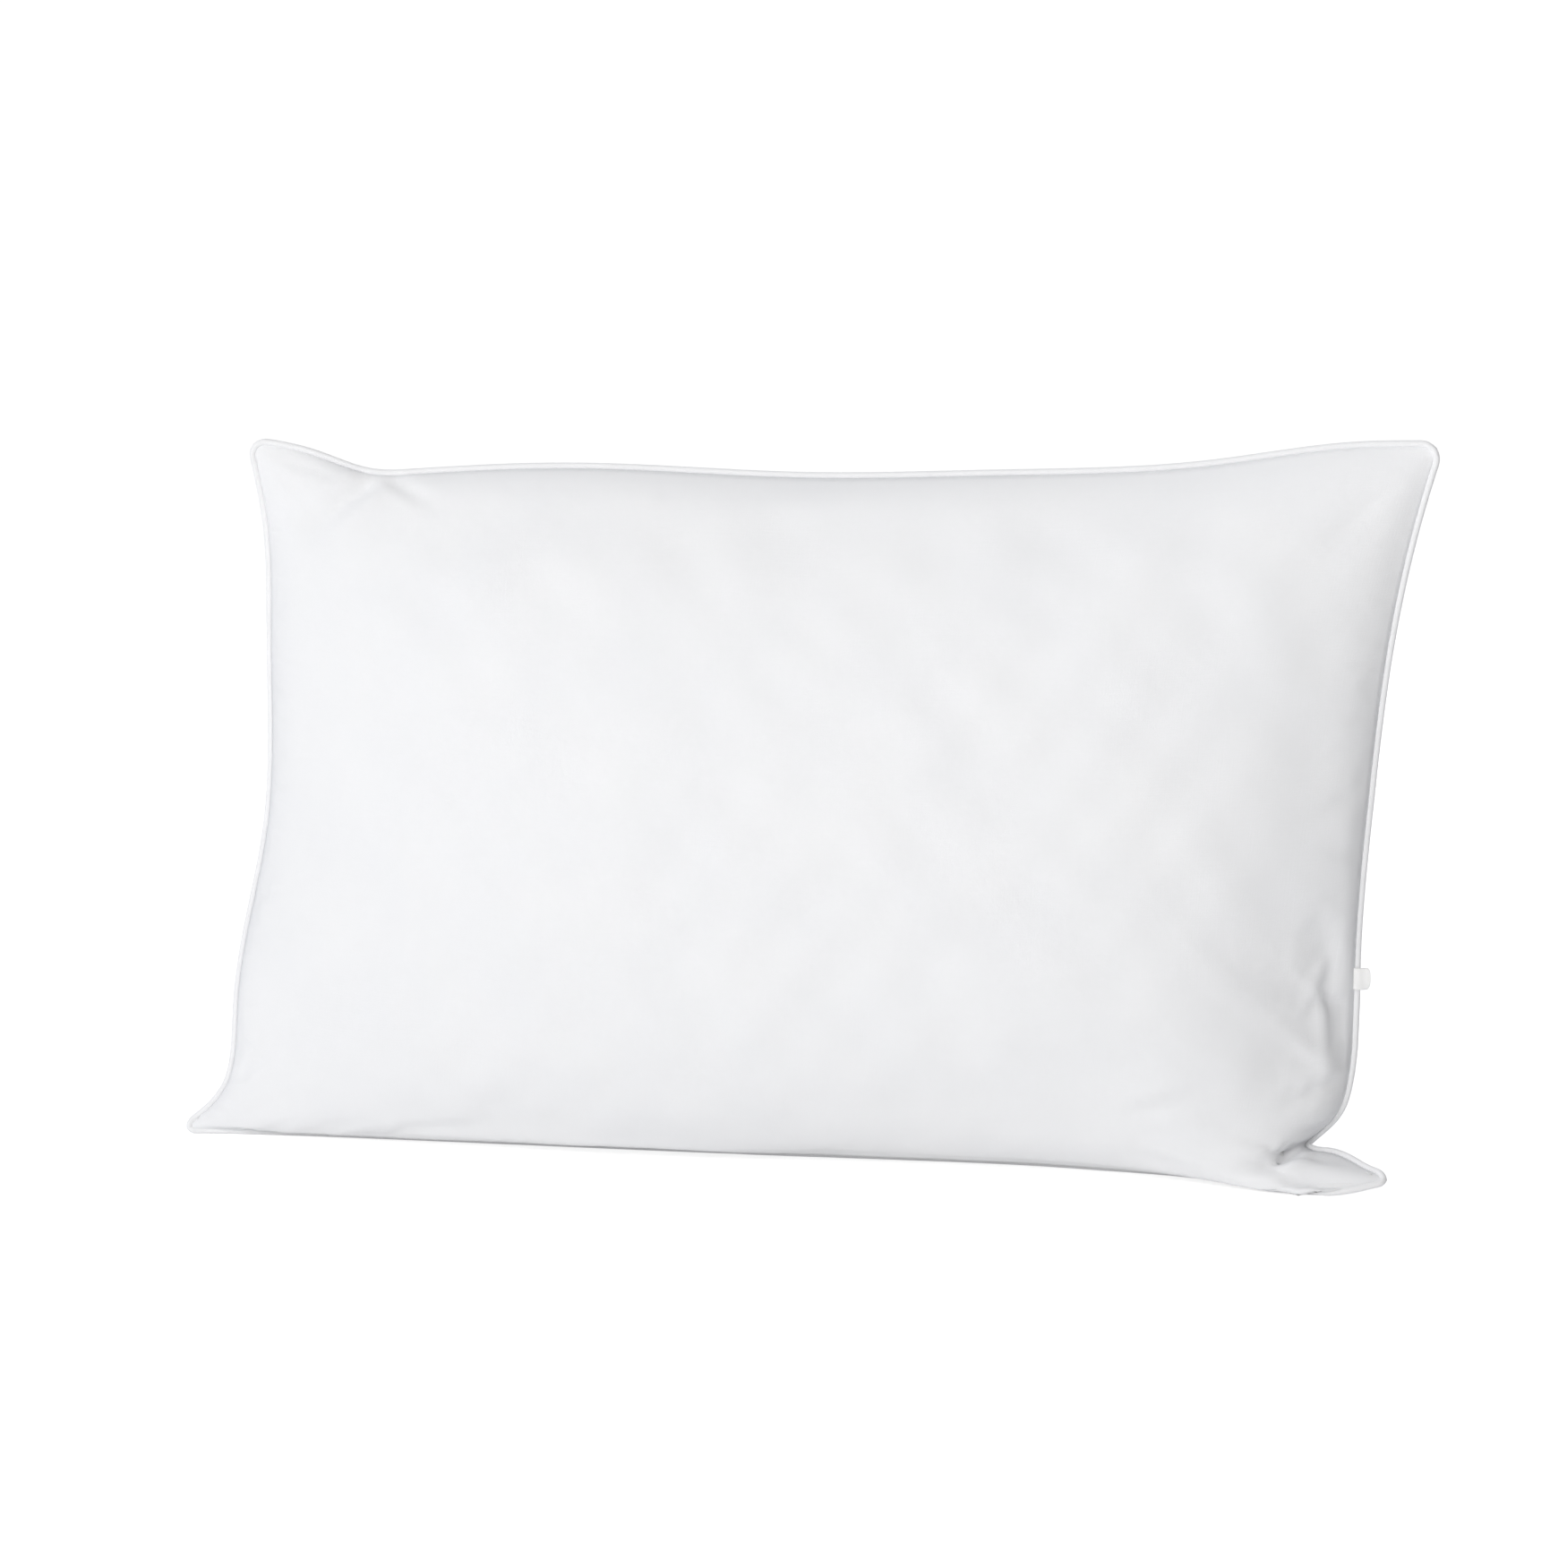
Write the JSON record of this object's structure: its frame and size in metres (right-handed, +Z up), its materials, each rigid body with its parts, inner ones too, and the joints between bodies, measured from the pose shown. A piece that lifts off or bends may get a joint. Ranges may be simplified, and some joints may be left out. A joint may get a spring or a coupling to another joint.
{
  "type": "bed pillow",
  "caption": "Plump rectangular bed pillow with soft pointed ears and piped seams, standing on one long edge; supports the head and neck.",
  "frame": {"origin": "on the floor, under the centre of the pillow's bounding box, as it stands on its long edge", "axes": "+X along the pillow's length, towards the side seam with the care label; +Y towards its back panel; +Z up, towards the free long edge"},
  "size_m": [0.745, 0.174, 0.4248],
  "materials": {
    "ticking": "matt white woven cotton ticking",
    "piping_fabric": "matt white bias-cut tape, the same cloth as the panels",
    "filler_cord": "soft unbleached twisted cord",
    "thread": "white spun polyester sewing thread",
    "fibre": "loose white hollow polyester fibre",
    "label_ribbon": "white satin ribbon, slightly glossy, blank"
  },
  "bodies": {
    "root": {"front_panel": "ticking", "back_panel": "ticking", "piping_tape": "piping_fabric", "piping_cord": "filler_cord", "seam_thread": "thread", "closing_thread": "thread", "overlock_thread": "thread", "fibre_fill": "fibre", "care_label": "label_ribbon"}
  },
  "joints": []
}
